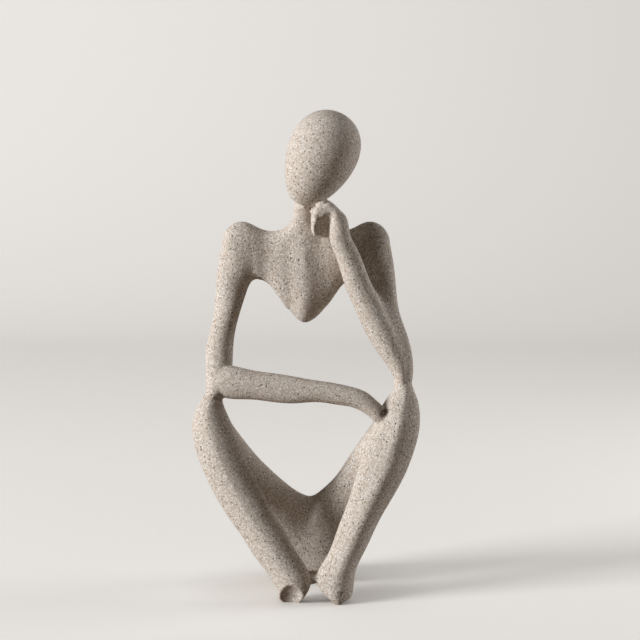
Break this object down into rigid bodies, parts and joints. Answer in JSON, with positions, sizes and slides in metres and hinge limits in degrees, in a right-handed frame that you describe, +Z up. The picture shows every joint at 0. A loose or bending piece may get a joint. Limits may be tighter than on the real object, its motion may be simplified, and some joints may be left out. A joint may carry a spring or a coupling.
{
  "type": "seated thinker statue",
  "caption": "Slender faceless seated figure in cast stone-filled resin, one forearm laid across the knees and the other fist under the chin, to stand on a shelf or desk.",
  "frame": {"origin": "on the rest plane, under the middle of the figure's bounding box", "axes": "+Z up, +X towards the figure's left hand side, +Y towards its back, so that it faces -Y"},
  "size_m": [0.1227, 0.079, 0.2606],
  "materials": {
    "cast_resin": "matt sandstone-look cast resin, beige with fine white, tan and dark grains",
    "pin_steel": "plain drawn steel dowel",
    "felt": "thin dark self-adhesive felt"
  },
  "bodies": {
    "root": {"head": "cast_resin", "torso": "cast_resin", "pelvis": "cast_resin", "right_leg": "cast_resin", "left_leg": "cast_resin", "right_arm": "cast_resin", "left_arm": "cast_resin", "neck_pin": "pin_steel", "right_shoulder_pin": "pin_steel", "left_shoulder_pin": "pin_steel", "right_elbow_pin": "pin_steel", "left_elbow_pin": "pin_steel", "right_hip_pin": "pin_steel", "left_hip_pin": "pin_steel", "right_hand_pin": "pin_steel", "left_hand_pin": "pin_steel", "seat_pad": "felt"}
  },
  "joints": []
}
